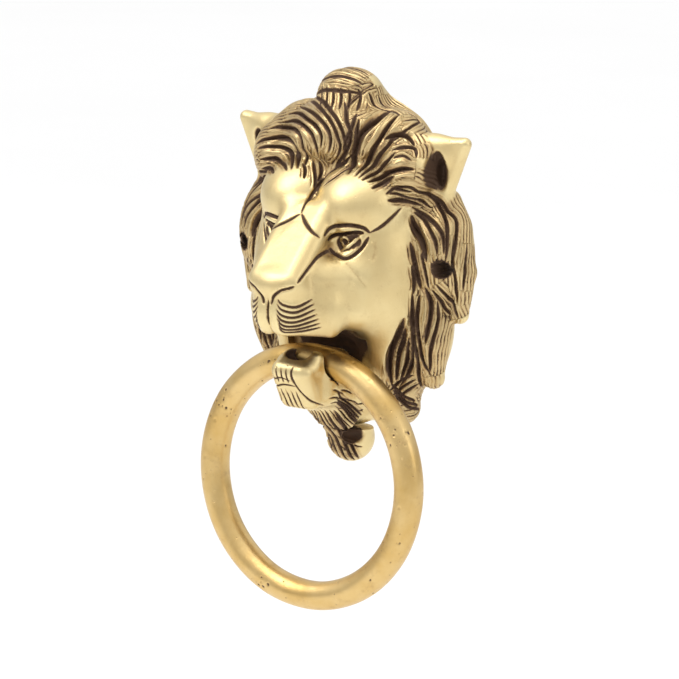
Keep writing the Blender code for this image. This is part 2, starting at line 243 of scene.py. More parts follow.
def pillar_field(points):
    """Metal that stays solid inside the hollow: round the screw holes and behind the jaw."""
    x, y, z = np.abs(points[..., 0]), points[..., 1], points[..., 2]
    boss = np.hypot(x - SCREW_HOLE_X, z) - BOSS_R
    centre = np.stack([x, y - SEAT_Y, z - JAW_SCREW_Z], -1)
    pad = np.abs(centre) - np.array([13.0, SEAT_BACK_Y - SEAT_Y + 1.0, 7.5])
    return np.minimum(boss, pad.max(-1))


def hollow_field(points):
    """The foundry's core, plainer than the outside and a wall's thickness inside it."""
    core = lump(points, (0, 6, -3), (44, 22, 54))
    core = join(core, lump(points, (0, -10, 0), (20, 16, 24)), 8)
    core = join(core, lump(points, (0, -24, -8), (9, 15, 10)), 8)
    hollow = -join(-core, -head_field(points) - WALL, 6)
    hollow = -join(-hollow, pillar_field(points), 2)
    return np.maximum(hollow, points[..., 1] - 5)


def jaw_field(points):
    """Chin, front lip and beard, before the trough is cut."""
    half = mirrored(points)
    form = block(half, (0, -35.5, -41.5), (8.5, 7, 9.5), 4, 28)  # front of the chin
    form = join(form, roll(points, (6.3, -37.5, -36), (6.4, -36.5, -33.2), 2.6, 2.2), 2)
    form = join(form, roll(points, (-6.3, -38.5, -38), (-6.4, -38, -35), 2.3, 1.7), 1.5)
    form = join(form, block(half, (0, -27, -41), (11.5, 8, 10), 5), 3)  # round the trough
    form = join(form, lump(half, (0, -19, -46), (16, 11, 10)), 4)
    form = join(form, lump(points, (2, -15, -53), (12, 9, 8)), 4)
    form = join(form, roll(points, (1, -14, -55), (1.5, -10, -62), 8.5, 7.5), 4)  # beard
    form = join(form, roll(points, (7, -8, -61), (10, -7.5, -57.5), 3.4, 2.4), 2)  # curl
    form = join(form, lump(points, (1.2, -7.5, -65.4), (8.8, 8, 8.8)), 2)
    form = carve(form, lump(points, *BEARD_NICK), 1.5)
    return carve(form, lump(points, *LIP_NOTCH), 1)


# ---------------------------------------------------------------- meshing


def crossings(values, spots):
    """For each grid cell, the mean of the places where its edges cross the surface."""
    cells = np.array(values.shape) - 1
    total = np.zeros((*cells, 3))
    count = np.zeros(cells)
    for axis in range(3):
        near = [slice(None)] * 3
        far = [slice(None)] * 3
        near[axis], far[axis] = slice(0, -1), slice(1, None)
        a, b = values[tuple(near)], values[tuple(far)]
        hit = (a < 0) != (b < 0)
        share = np.where(hit, a / np.where(hit, a - b, 1), 0)[..., None]
        place = spots[tuple(near)] * (1 - share) + spots[tuple(far)] * share
        others = [i for i in range(3) if i != axis]
        for shift in range(4):
            window = [slice(None)] * 3
            for bit, other in enumerate(others):
                start = (shift >> bit) & 1
                window[other] = slice(start, start + cells[other])
            seen = hit[tuple(window)]
            total += place[tuple(window)] * seen[..., None]
            count += seen
    return total, count


def netted(field, low, high, step):
    """Surface net of a field: points, and quads that face outwards."""
    axes = [np.arange(a, b + step, step) for a, b in zip(low, high)]
    spots = np.stack(np.meshgrid(*axes, indexing="ij"), -1)
    values = field(spots)
    total, count = crossings(values, spots)
    used = count > 0
    index = np.full(count.shape, -1)
    index[used] = np.arange(used.sum())
    points = total[used] / count[used][:, None]
    quads = []
    for axis in range(3):
        second, third = (axis + 1) % 3, (axis + 2) % 3
        near = [slice(1, -1)] * 3
        far = [slice(1, -1)] * 3
        near[axis], far[axis] = slice(0, -1), slice(1, None)
        inside = values[tuple(near)] < 0
        hit = inside != (values[tuple(far)] < 0)
        at = np.argwhere(hit)
        at[:, [second, third]] += 1
        corners = []
        for back in ((1, 1), (0, 1), (0, 0), (1, 0)):
            cell = at.copy()
            cell[:, second] -= back[0]
            cell[:, third] -= back[1]
            corners.append(index[tuple(cell.T)])
        faces = np.stack(corners, 1)
        outward = inside[hit]
        quads.append(np.where(outward[:, None], faces, faces[:, ::-1]))
    return points, np.concatenate(quads)


def quartered(points, quads):
    """Each quad split into four."""
    sides = np.stack([quads, np.roll(quads, -1, 1)], -1).reshape(-1, 2)
    keys = sides.min(1) * len(points) + sides.max(1)
    unique, first, where = np.unique(keys, return_index=True, return_inverse=True)
    middles = len(points) + where.reshape(-1, 4)
    centres = len(points) + len(unique) + np.arange(len(quads))
    halfway = points[sides[first]].mean(1)
    points = np.concatenate([points, halfway, points[quads].mean(1)])
    small = [
        np.stack([quads[:, i], middles[:, i], centres, middles[:, i - 1]], 1) for i in range(4)
    ]
    return points, np.concatenate(small)


def slope_of(points, field, nudge):
    slope = np.zeros_like(points)
    for axis in range(3):
        step = np.zeros(3)
        step[axis] = nudge
        slope[:, axis] = (field(points + step) - field(points - step)) / (2 * nudge)
    return slope


def settled(points, field, step, rounds=2):
    """Points moved onto the surface along the field's slope, by less than step each round."""
    for _ in range(rounds):
        slope = slope_of(points, field, 0.1)
        size = (slope**2).sum(1, keepdims=True) + 1e-9
        move = -field(points)[:, None] * slope / size
        points = points + np.clip(move, -step, step)
    return points


def smoothed(values, edges, rounds):
    """Each vertex's value averaged with its neighbours', several times."""
    count = np.bincount(edges.ravel(), minlength=len(values))[:, None] + 1
    for _ in range(rounds):
        total = values.copy()
        for axis in range(values.shape[1]):
            column = values[:, axis]
            for here, there in ((0, 1), (1, 0)):
                total[:, axis] += np.bincount(
                    edges[:, here], weights=column[edges[:, there]], minlength=len(values)
                )
        values = total / count
    return values


def edges_of(quads):
    sides = np.sort(np.stack([quads, np.roll(quads, -1, 1)], -1).reshape(-1, 2), 1)
    keys = np.unique(sides[:, 0] * (sides.max() + 1) + sides[:, 1])
    return np.stack(np.divmod(keys, sides.max() + 1), 1)


def normals_of(points, quads):
    corners = points[quads]
    face = np.cross(corners[:, 2] - corners[:, 0], corners[:, 3] - corners[:, 1])
    normals = np.zeros_like(points)
    for axis in range(3):
        normals[:, axis] = np.bincount(
            quads.ravel(), weights=np.repeat(face[:, axis], 4), minlength=len(points)
        )
    return normals / (np.linalg.norm(normals, axis=1, keepdims=True) + 1e-12)


# ---------------------------------------------------------------- strokes


class Stroke(NamedTuple):
    """A line worked into the surface through guide places, which are X Z or X Y Z."""

    guide: tuple
    wide: float  # half the width
    deep: float  # negative stands proud
    dark: float = 1.0  # how much tarnish it holds
    hair: bool = False
    taper: float = 0.3  # share of the length in which each end runs out


def lock(*guide, wide=1.3, deep=1.3, dark=1.0):
    """The furrow between two locks of hair."""
    return Stroke(guide, wide * 1.15, deep * 1.25, dark * 1.1, True)


def both_sides(strokes):
    other = [
        stroke._replace(guide=tuple((-place[0], *place[1:]) for place in stroke.guide))
        for stroke in strokes
    ]
    return [*strokes, *other]


def spline(guide, spacing=0.8):
    """A smooth curve through the guide places."""
    guide = np.asarray(guide, float)
    chain = np.concatenate([[2 * guide[0] - guide[1]], guide, [2 * guide[-1] - guide[-2]]])
    parts = []
    for a, b, c, d in zip(chain, chain[1:], chain[2:], chain[3:]):
        count = max(2, int(np.linalg.norm(c - b) / spacing) + 1)
        t = np.linspace(0, 1, count, endpoint=False)[:, None]
        bend = (2 * a - 5 * b + 4 * c - d) * t**2 + (3 * b - a - 3 * c + d) * t**3
        parts.append((2 * b + (c - a) * t + bend) / 2)
    return np.concatenate([*parts, guide[-1:]])


def with_depth(guide, field):
    """Guide places of X and Z are put on the front of the form."""
    if len(guide[0]) == 3:
        return np.array(guide, float)
    depths = np.arange(-64, 2, 0.5)
    places = np.zeros((len(guide), len(depths), 3))
    places[..., 0] = np.array(guide)[:, :1]
    places[..., 1] = depths
    places[..., 2] = np.array(guide)[:, 1:]
    first = (field(places) < 0).argmax(1)
    return places[np.arange(len(guide)), first]


def paths_of(strokes, field):
    """Each stroke's curve, laid on the form."""
    curves = [spline(with_depth(stroke.guide, field)) for stroke in strokes]
    flat = settled(np.concatenate(curves), field, 1.0, 4)
    return np.split(flat, np.cumsum([len(curve) for curve in curves])[:-1])


def nearest_on(points, path):
    """Distance to the path, share of its length, and signed distance to one side."""
    start, along = path[:-1], np.diff(path, axis=0)
    size = (along**2).sum(1) + 1e-12
    local = points[:, None] - start
    share = np.clip((local * along).sum(-1) / size, 0, 1)
    away = local - share[..., None] * along
    squared = (away**2).sum(-1)
    best = squared.argmin(1)
    pick = np.arange(len(points))
    lengths = np.concatenate([[0], np.cumsum(np.sqrt(size))])
    travelled = lengths[best] + share[pick, best] * np.sqrt(size[best])
    return np.sqrt(squared[pick, best]), travelled / lengths[-1], away[pick, best], along[best]


class Worked(NamedTuple):
    """What the strokes do to each vertex."""

    height: np.ndarray
    darkening: np.ndarray
    comb: np.ndarray
    hair: np.ndarray


def worked(points, normals, strokes, field, zone=0.0, hair_reach=9.0):
    proud = np.zeros(len(points))
    cut = np.zeros(len(points))
    darkening = np.zeros(len(points))
    comb = np.zeros(len(points))
    nearest = np.full(len(points), hair_reach)
    fade = np.zeros(len(points))
    for stroke, path in zip(strokes, paths_of(strokes, field)):
        reach = max(stroke.wide, hair_reach if stroke.hair else 0)
        near = ((points > path.min(0) - reach) & (points < path.max(0) + reach)).all(1)
        near = np.flatnonzero(near)
        if not len(near):
            continue
        away, share, offset, along = nearest_on(points[near], path)
        ends = np.clip(np.minimum(share, 1 - share) / stroke.taper, 0, 1) ** 0.6
        across = np.clip(1 - away / (stroke.wide * (0.35 + 0.65 * ends)), 0, 1)
        if stroke.deep < 0:
            rounded = np.sqrt(1 - (1 - across) ** 2)
            proud[near] = np.maximum(proud[near], -stroke.deep * rounded * ends)
        else:
            depth = stroke.deep * across**1.6 * ends
            cut[near] = np.maximum(cut[near], depth)
            stain = stroke.dark * np.clip(across * 1.7 - 0.25, 0, 1) * np.clip(ends * 1.5, 0, 1)
            darkening[near] = np.maximum(darkening[near], stain)
        if stroke.hair:
            closer = (away < nearest[near]) & (share > 0.004) & (share < 0.996)
            here = near[closer]
            side = np.cross(along, normals[near])
            sign = np.sign((offset * side).sum(1))
            comb[here] = (away * sign)[closer]
            nearest[here] = away[closer]
            fade[here] = np.clip(np.minimum(share, 1 - share)[closer] / 0.16, 0, 1)
    beside = np.clip((1 - nearest / 2.4) * 2.5, 0, 1)
    hair = np.maximum(beside * fade, zone * np.clip((1 - nearest / hair_reach) * 4, 0, 1))
    return Worked(proud - cut, darkening, comb, hair)


# ---------------------------------------------------------------- the lion's strokes


def brow_and_bridge():
    """The forehead's parting, the V over the bridge, and the brow's outer crease."""
    parting = Stroke(((7, 34), (3, 31), (0, 27), (-1, 24), (-0.5, 20.5), (0, 17)), 1.15, 1.1)
    course = ((0, -38.5, 17.5), (4, -41, 14.5), (8, -42.5, 12.2), (10.5, -41, 10))
    vee = Stroke(course, 1.1, 1.0, 1.0)
    brow = Stroke(((22.5, 12), (26, 14.5), (28, 17.5), (29.5, 21)), 1.15, 1.0, 1.0, False, 0.4)
    return [parting, *both_sides([vee, brow])]


def nose_and_whiskers():
    edge = ((11, -37, 5.5), (11, -43, 4), (10.8, -47, 1.3), (10.7, -50.5, -1.5), (10.3, -54, -4.3))
    nostril = (
        (10, -54.5, -5), (8.5, -55.5, -5.8), (5.5, -57, -7),
        (2.5, -57, -9.5), (1.5, -56.5, -12.5),
    )
    strokes = [
        Stroke(edge, 1.0, 0.9, 1.0, False, 0.12),
        Stroke(nostril, 0.9, 0.9, 1.0, False, 0.12),
    ]
    for i in range(7):
        drop = 1.6 * i
        start = (3.6 + 0.25 * abs(i - 2), -56.8, -9.8 - drop)
        middle = (5.6, -55.4, -12.0 - 1.1 * drop)
        onward = (9.2, -52.3, -12.7 - 1.1 * drop)
        end = (12.6 + 0.45 * i, -47.5 + 0.4 * i, -10 - 1.05 * drop)
        strokes.append(Stroke((start, middle, onward, end), 0.85, 0.75, 1.0, False, 0.25))
    philtrum = Stroke(((0, -57, -11), (0, -57, -15), (0, -56, -20)), 0.9, 0.8, 0.8)
    return [philtrum, *both_sides(strokes)]


def eye():
    """Heavy upper lid, the eye sunk beneath it, and a thin lower lid."""
    arc = (
        (10.7, -39.5, 10.5), (11, -37, 12.7), (13.3, -34.5, 14.2),
        (17.5, -33.5, 14.8), (21, -31, 14), (23, -29, 12),
    )
    under = (
        (10.8, -37.5, 9), (12, -34.5, 10.4), (15.3, -33.5, 11.4),
        (18.5, -32.5, 12.2), (21.5, -30.5, 12),
    )
    low = (
        (11, -36.5, 6.5), (12.6, -35, 4.3), (16.2, -35, 3.2),
        (18.5, -33, 4), (21, -31, 7), (22.8, -29.5, 11),
    )
    strokes = [
        Stroke(((11.5, 11.6), (14, 12.7), (17.3, 13.3), (20.5, 12.9)), 1.5, -0.8),
        Stroke(((12, 7.6), (15, 8.2), (18, 9), (20.5, 10)), 3.9, 1.7, 1.3, False, 0.15),
        Stroke(arc, 1.15, 1.1, 1.2, False, 0.12),
        Stroke(under, 1.15, 2.1, 1.2, False, 0.12),
        Stroke(low, 1.15, 1.2, 1.2, False, 0.12),
    ]
    return both_sides(strokes)


def eye_ridges():
    """What stands up inside the sunk eye."""
    lid = Stroke(((13.8, 5.2), (16, 6.9), (18.5, 9), (20.8, 11)), 0.8, -1.4, 0)
    turns = [math.tau * i / 8 for i in range(9)]
    iris = tuple((14.9 + 1.5 * math.cos(turn), 8.6 + 1.5 * math.sin(turn)) for turn in turns)
    return both_sides([lid, Stroke(iris, 0.6, -1.0, 0, False, 0.01)])


def cheeks():
    strokes = [
        Stroke(((17.3, 2.1), (21, -1.5), (24.5, -6.5)), 2.2, 0.4, 0.1),
        Stroke(((24.7, 10), (25, 6), (24.7, 2)), 2.0, 0.35, 0.1),
    ]
    return both_sides(strokes)


def side_locks():
    """The mane from the temple down to its lowest tips."""
    strokes = [
        lock((48.5, 9), (48.7, 1), (47.5, -8), wide=0.9, deep=0.8),
        lock((34.5, 27), (38, 23.5), (42, 20), (45, 17), (46.5, 12), (46.5, 6), (46, 1)),
        lock((32.5, 28), (36, 25), (39.5, 20.5), (43, 16), (44.5, 9), (44.5, 3)),
        lock((31, 20.5), (36, 17.5), (40, 15), (43, 11.5), (44, 5), deep=1.1),
        lock((31.5, 19), (35, 16.5), (38.5, 13), (41, 9.5), (42, 5), deep=1.1),
        lock((31, 18), (32.5, 14), (35.5, 9.5), (37.0, 6), (37.8, 2), wide=1.9, deep=2.2),
        lock((26.5, 27.5), (30.5, 27), (33.5, 26.5), wide=0.9, deep=0.9),
        lock((26.5, 26), (29.5, 25.2), (33, 23.5), (37, 20.5), wide=1.0, deep=1.0),
        lock((26.8, 23.5), (30, 23), (33.5, 21)),
        lock((32, 9), (33.5, 3), (34.5, -3), (35, -8), deep=1.2),
        lock((35.5, 6), (37, 1), (37.8, -4), (38, -7.5), wide=1.0, deep=1.0),
        lock((33, 1), (33.5, -5), (33, -10), wide=1.0, deep=1.0),
        lock((45.8, 12), (46.5, 3), (46.3, -5), (45.5, -13), wide=0.9, deep=1.1),
        lock((41, -5.5), (43, -10), (44.5, -14.5), (45.5, -18), wide=1.1, deep=1.0),
        lock((39, -7.5), (41, -12), (42.5, -17), wide=1.0, deep=0.9),
        lock((36.5, -7), (38, -12.5), (38.5, -17), (38, -22.5), (37, -27), wide=1.7, deep=1.9),
        lock((40, -11), (40.5, -18), (39.5, -25.5), (38.5, -30), (37.5, -35), (36, -39)),
        lock((34.5, -10), (34, -19), (35, -26), (35.5, -33), (36.5, -39), deep=1.5),
        lock((33, -8), (32.5, -19), (33, -26.5), (33.5, -32), (33, -37), (30.5, -44), deep=1.5),
        lock((31, -18), (28, -25), (25.3, -31), (24.5, -36.5), (24.5, -43), wide=1.9, deep=2.4),
        lock((30.5, -21.5), (28.5, -27), (27, -32), (27, -37), (26, -42), deep=1.7),
        lock((31, -25), (29.5, -31), (29, -36), (27, -42), wide=1.1, deep=1.5),
        lock((32, -21), (32, -28), (31, -34), (29.5, -39), (26.5, -44), deep=1.6),
    ]
    for i in range(7):
        start = (23.5 + 0.3 * i, -45 - 2.0 * i)
        middle = (27.5 + 0.2 * i, -41.5 - 2.1 * i)
        strokes.append(lock(start, middle, (31, -39 - 1.9 * i), wide=1.1, deep=1.1))
    return both_sides(strokes)


def top_locks():
    """The forelock, combed off the parting to both sides, and the crown."""
    left = [
        lock(
            (-22, 48), (-15.5, 49.5), (-8, 48.5), (-3, 46.5), (0, 43.5), (-0.5, 39),
            wide=1.4,
            deep=1.8,
        ),
        lock(
            (-23.5, 45), (-15.5, 47), (-9, 46), (-4.5, 43.5), (-2.5, 39.5), (-3, 35),
            wide=1.4,
            deep=1.7,
        ),
        lock(
            (-29.5, 42), (-23.5, 43.5), (-14, 44), (-10, 41.5), (-9.5, 37), (-7, 32),
            wide=1.5,
            deep=1.9,
        ),
        lock(
            (-34, 36), (-26, 39.5), (-20, 40), (-15, 38.5), (-13, 35), (-9, 31),
            wide=1.5,
            deep=1.9,
        ),
        lock((-32, 35), (-24.5, 36.7), (-19, 36), (-14.5, 33.7), (-11, 30.5)),
        lock((-30, 31.5), (-23.5, 32.5), (-17, 32), (-12.5, 30)),
        lock((-30, 28), (-24, 29), (-18, 28.5), deep=1.0),
    ]
    middle = [
        lock((-15, 53), (-3.5, 52), (3, 48.5), (6.5, 44), (7.5, 40), (4.5, 35), deep=1.1),
        lock((-13, 55), (-1.5, 53), (5, 49.5), (9, 44), (9, 38.5), (6.5, 32.5), deep=1.1),
        lock((-18, 51), (-9, 51), (-2, 49), (2.5, 46), (4, 42), (2, 37), deep=1.3),
        lock((2.5, 56), (5.5, 53), (8.5, 49.5), (11, 46), (11, 41.5), (8, 37), (3, 32)),
        lock((10, 52), (11, 48), (10, 43), (8, 38), deep=1.0),
        lock((12, 50.5), (13, 46), (13, 41), (11.5, 36), (12.5, 31.5), wide=1.6, deep=1.8),
        lock((11, 37.5), (7, 34), (3, 31), (0, 27.5), (-1, 24.5), wide=1.0, deep=1.0),
        lock((13, 36), (10.5, 33), (7.5, 30), (3.5, 26.5), wide=1.0, deep=0.9),
        lock((-6, 34), (-3.5, 30.5), (-1.5, 27), (-1, 24.5), wide=0.9, deep=0.9),
        lock((-3.5, 34), (-1.5, 30.5), (-1, 27), wide=0.9, deep=0.9),
        lock((-9, 33), (-6.5, 31), (-5, 28), wide=0.9, deep=0.9),
    ]
    right = [
        lock((12, 33), (13, 40), (14.5, 45.5), (16.5, 50), (18, 53), wide=2.4, deep=2.8),
        lock(
            (15.5, 31), (16, 35), (18.5, 40), (20.5, 44), (21.5, 48), (22, 52),
            wide=1.3,
            deep=1.7,
        ),
        lock((17, 30.5), (18.5, 34.5), (21.5, 39), (24, 42.5), (25, 45.5), (28, 47)),
        lock((18.5, 30), (21, 33), (25, 37), (27.5, 40), deep=1.5),
        lock(
            (20.5, 29.5), (23.5, 31.7), (27.5, 33.5), (31.5, 34.7), (35, 34.5),
            wide=1.6,
            deep=2.2,
        ),
        lock((22.5, 27.5), (24.5, 29.5), (28.5, 32), deep=1.1),
        lock((26, 25.5), (29.5, 28), (33.5, 28), (35, 25.5), wide=1.0, deep=0.9),
        lock((22, 44), (25, 45.8), (29, 45.5), (32.5, 42.5), wide=1.7, deep=2.3),
        lock((26, 40.5), (30, 42), (33, 41.5), (34.5, 38.5), deep=1.0),
        lock((27, 38), (30.5, 39), (33.5, 37.5), wide=0.9, deep=0.6),
        lock((24.5, 50), (28, 49), (30.5, 47), wide=1.0, deep=0.9),
    ]
    crown = [
        lock((x, 59.5), (x + 1.5, 56.5), (x + 3.3, 52.5), wide=0.9, deep=0.8)
        for x in range(-9, 12, 3)
    ]
    knob = [
        Stroke(((0, 58.5), (4, 60), (8, 59.7), (11, 58)), 0.7, 0.5, 0.8, False),
        Stroke(((-10, 60), (-7, 62), (-3, 62.5)), 0.7, 0.5, 0.8, False),
    ]
    tuft = [
        lock((-11, -10, 57), (-7, -14, 61), (0, -15, 63), (7, -13, 61), deep=0.6),
        lock((-12, -12, 54), (-6, -17, 57.5), (1, -18.5, 58.5), (8, -15, 58), deep=0.7),
        lock((-13, -6, 57), (-8, -8, 63), (-1, -9, 65), (6, -8, 63.5), deep=0.6),
        lock((8, -12, 58), (12, -12, 55), (17, -12, 53), (22, -12, 50)),
        lock((10, -8, 57), (15, -8, 54.5), (21, -8, 51), (26, -8, 47)),
        lock((-14, -10, 55), (-19, -10, 53), (-25, -10, 49)),
    ]
    return [*left, *middle, *right, *crown, *knob, *tuft]


def ear_strokes():
    slot = Stroke(((38.3, 28), (38, 33), (38.5, 38)), 2.6, 2.6, 1.0, False, 0.35)
    return both_sides([slot])


def head_strokes():
    return [
        *brow_and_bridge(),
        *nose_and_whiskers(),
        *eye(),
        *cheeks(),
        *side_locks(),
        *top_locks(),
        *ear_strokes(),
    ]


def jaw_strokes():
    """Short hatching on the chin, flicks of fur on its sides, and the beard's curl."""
    strokes = [
        Stroke(((-10.5, -43.5), (-4, -43), (4, -42.5)), 0.6, 0.6, 0.9),
        Stroke(((-9.5, -40), (-4, -40.3), (2, -41)), 0.5, 0.45, 0.9),
    ]
    for i in range(6):
        x = -9 + 2.1 * i
        strokes.append(Stroke(((x, -36.5), (x + 0.3, -39.5), (x + 0.5, -42)), 0.6, 0.55, 0.9))
        strokes.append(Stroke(((x + 0.3, -44), (x + 0.8, -48), (x + 1.6, -52.5)), 0.6, 0.6, 0.9))
    lobe = ((2.4, -34.5), (2.0, -38), (3.0, -43), (6, -47), (8.5, -50))
    strokes.append(Stroke(lobe, 0.75, 0.7, 0.8))
    flicks = []
    for row in range(5):
        for column in range(4):
            y = -35 + 4.6 * column + 1.5 * (row % 2)
            z = -40.5 - 3.6 * row - 0.4 * column
            guide = ((12, y, z), (13.5, y + 2, z - 0.5), (14.5, y + 4.3, z - 2))
            flicks.append(Stroke(guide, 0.6, 0.6, 0.9))
    for i in range(7):
        x = 1.5 + 2.2 * i
        guide = ((x, -28, -54), (x + 0.7, -23, -58), (x + 1.5, -18, -61))
        flicks.append(Stroke(guide, 0.7, 0.8, 0.9))
    flicks.append(Stroke(((2, -24, -63), (7, -21, -64), (12, -15, -65)), 1.4, 1.6, 1.0))
    flicks.append(Stroke(((4, -22, -67), (8, -18, -69), (11, -12, -69)), 0.8, 0.8, 0.8))
    flicks.append(Stroke(((2, -22, -70), (6, -18, -72), (8, -13, -73)), 0.8, 0.7, 0.8))
    for i in range(5):
        x = -7 + 3.4 * i
        ends = ((0.8 * x + 2, -15, -68), (0.6 * x + 2, -8, -74))
        strokes.append(lock((x, -26, -53), (x + 0.8, -20, -60), *ends))
    for i in range(4):
        guide = ((9 + i, -30, -45 - 2 * i), (12, -24, -50 - 2 * i), (12.5, -17, -55 - 2 * i))
        strokes.append(lock(*guide, wide=0.8, deep=0.8))
    return [*strokes, *both_sides(flicks)]


# ---------------------------------------------------------------- objects


def placed(points):
    """Head millimetres to the frame's metres."""
    return (np.asarray(points) - np.array([0, 0, MOUNT_HEIGHT])) * MM


def mesh_object(name, points, faces):
    mesh = bpy.data.meshes.new(name)
    mesh.from_pydata(points.tolist(), [], faces.tolist())
    piece = bpy.data.objects.new(name, mesh)
    bpy.context.scene.collection.objects.link(piece)
    return piece


def linked(name, form):
    """An object that shows a bmesh, which is freed."""
    mesh = bpy.data.meshes.new(name)
    form.to_mesh(mesh)
    form.free()
    piece = bpy.data.objects.new(name, mesh)
    bpy.context.scene.collection.objects.link(piece)
    return piece


def cylinder(name, radius, start_y, end_y, x, z, segments=64):
    """A cylinder along Y, in the head's millimetres."""
    form = bmesh.new()
    middle = placed((x, (start_y + end_y) / 2, z))
    turn = Matrix.Translation(middle) @ Matrix.Rotation(math.radians(90), 4, "X")
    bmesh.ops.create_cone(
        form,
        cap_ends=True,
        segments=segments,
        radius1=radius * MM,
        radius2=radius * MM,
        depth=abs(end_y - start_y) * MM,
        matrix=turn,
    )
    return linked(name, form)


def cuboid(name, low, high):
    low, high = placed(low), placed(high)
    form = bmesh.new()
    size = Matrix.Diagonal((*(high - low), 1.0))
    bmesh.ops.create_cube(form, size=1.0, matrix=Matrix.Translation((low + high) / 2) @ size)
    return linked(name, form)


def machined(piece, tools, triangles, solver="MANIFOLD"):
    """Takes the tools out of the piece, thins its mesh to a number of triangles and tidies up."""
    for tool in tools:
        boolean = piece.modifiers.new("Cut " + tool.name, "BOOLEAN")
        boolean.operation = "DIFFERENCE"
        boolean.solver = solver
        boolean.object = tool
    settle_modifiers(piece)
    faces = sum(len(face.vertices) - 2 for face in piece.data.polygons)
    if faces > triangles:
        thin = piece.modifiers.new("Thin", "DECIMATE")
        thin.ratio = triangles / faces
        settle_modifiers(piece)
    for tool in tools:
        bpy.data.objects.remove(tool, do_unlink=True)
    return piece


def settle_modifiers(piece):
    """The evaluated mesh takes the plain one's place."""
    graph = bpy.context.evaluated_depsgraph_get()
    graph.update()
    mesh = bpy.data.meshes.new_from_object(piece.evaluated_get(graph))
    piece.modifiers.clear()
    piece.data = mesh


def finished(piece, body, slot, material, *nodes, angle=60):
    piece.data.materials.clear()
    piece.data.materials.append(material)
    piece.data.shade_smooth()
    piece.data.set_sharp_from_angle(angle=math.radians(angle))
    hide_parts(*nodes)
    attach(piece, body)
    return piece


def give_attributes(piece, points, values):
    """Each vertex takes the values of the nearest of the given points, which are in metres."""
    tree = kdtree.KDTree(len(points))
    for i, point in enumerate(points):
        tree.insert(point, i)
    tree.balance()
    found = [tree.find(vertex.co)[1:] for vertex in piece.data.vertices]
    nearest = np.array([index for index, _ in found])
    cut_face = np.array([away for _, away in found]) > 0.8 * MM
    for name, column in values.items():
        attribute = piece.data.attributes.new(name, "FLOAT", "POINT")
        column = np.where(cut_face, 0.55 if name == "patina_and_shade" else 0.0, column[nearest])
        attribute.data.foreach_set("value", column.astype(np.float32))


def mane_zone(points):
    """1 where the surface is mane, 0 on the face and the ears."""
    half = mirrored(points)
    far = np.full(points.shape[:-1], 50.0)
    ear = leaf(half, EAR, EAR_HALF_THICK)
    other = np.minimum(with_face(far, half), ear)
    return np.clip(0.5 + (other - mane(points, half)) / 1.2, 0, 1)


def painted_shade_and_stain_in_jaw(points):
    """Painted shade with tarnish in the lip's notch and in the nick at the tip of the beard."""
    # Both bands are painted shade in a hollow, with its tarnish.
    notch = 1.2 - np.abs(lump(points, *LIP_NOTCH)) / 1.0
    under = 0.9 - np.abs(lump(points, *BEARD_NICK)) / 1.2
    return np.clip(np.maximum(notch, under), 0, 1)


def painted_shade_and_stain_in_head(points):
    """Painted shade with tarnish in the mouth, the ears' slots and the screw holes' rims, and
    painted shade at the eyes' inner corners.
    """
    half = mirrored(points)
    # Bands of painted shade in these hollows, over the tarnish that they also hold.
    mouth = 1.15 - np.abs(lump(half, *MOUTH)) / 2.5
    slot = 1.1 - np.abs(lump(half, *EAR_SLOT)) / 0.9
    screw = 1.1 - np.abs(np.hypot(half[..., 0] - SCREW_HOLE_X, half[..., 2]) - 3) / 0.9
    # Painted shade round the eye's inner corner.
    tear = 0.8 - np.linalg.norm(half - np.array(TEAR), axis=-1) / 4.2
    return np.clip(np.max([mouth, slot, screw, tear], axis=0), 0, 1)


def recess(points, quads, normals, rounds, reach):
    """How far each vertex lies under its smoothed surroundings, as a share of reach."""
    soft = smoothed(points, edges_of(quads), rounds)
    return ((soft - points) * normals).sum(1) / reach


def sculpted(field, low, high, step, strokes, later=(), painted_shade_and_stain=None, zone=None):
    """Points and quads of a field with strokes worked in, and the values that its finish needs."""
    points, quads = netted(field, low, high, 2 * step)
    points, quads = quartered(points, quads)
    points = settled(points, field, step / 2)
    slope = slope_of(points, field, 0.15)
    normals = slope / (np.linalg.norm(slope, axis=1, keepdims=True) + 1e-9)
    work = worked(points, normals, strokes, field, zone(points) if zone else 0.0)
    x, y, z = points.T
    wander = 0.16 * np.sin(0.5 * x + 0.45 * z) + 0.08 * np.sin(1.1 * z - 0.7 * y + 0.6 * x)
    uneven = 0.62 + 0.38 * np.sin(0.33 * z + 0.7 * x) * np.sin(0.41 * x - 0.52 * z + 0.3 * y)
    comb = work.comb + wander
    furrow = (0.5 + 0.5 * np.cos(comb * math.tau / COMB_PITCH)) ** 1.5 * work.hair * uneven
    height = work.height - COMB_DEPTH * furrow
    darkening = np.maximum(work.darkening, 0.66 * furrow)
    # Painted shade in the hollows, with their tarnish, joins the darkening here.
    if painted_shade_and_stain:
        darkening = np.maximum(darkening, painted_shade_and_stain(points))
    if later:
        extra = worked(points, normals, later, field)
        height = height + extra.height
        darkening = darkening * (1 - np.clip(extra.height * 0.8, 0, 0.8))
    points = points + normals * height[:, None]
    normals = normals_of(points, quads)
    small = recess(points, quads, normals, 4, 0.25)
    large = recess(points, quads, normals, 40, 1.6)
    # Recess patina together with the hollows' painted shade.
    patina_and_shade = darkening + 0.5 * np.clip(small, 0, 1) + 0.35 * np.clip(large, -1, 1)
    values = {
        "patina_and_shade": np.clip(patina_and_shade, 0, 1.5),
        "polish": np.clip(-0.6 * small - 0.4 * large, 0, 1),
        "comb": comb,
        "hair": work.hair,
    }
    return points, quads, values


# ---------------------------------------------------------------- finishes


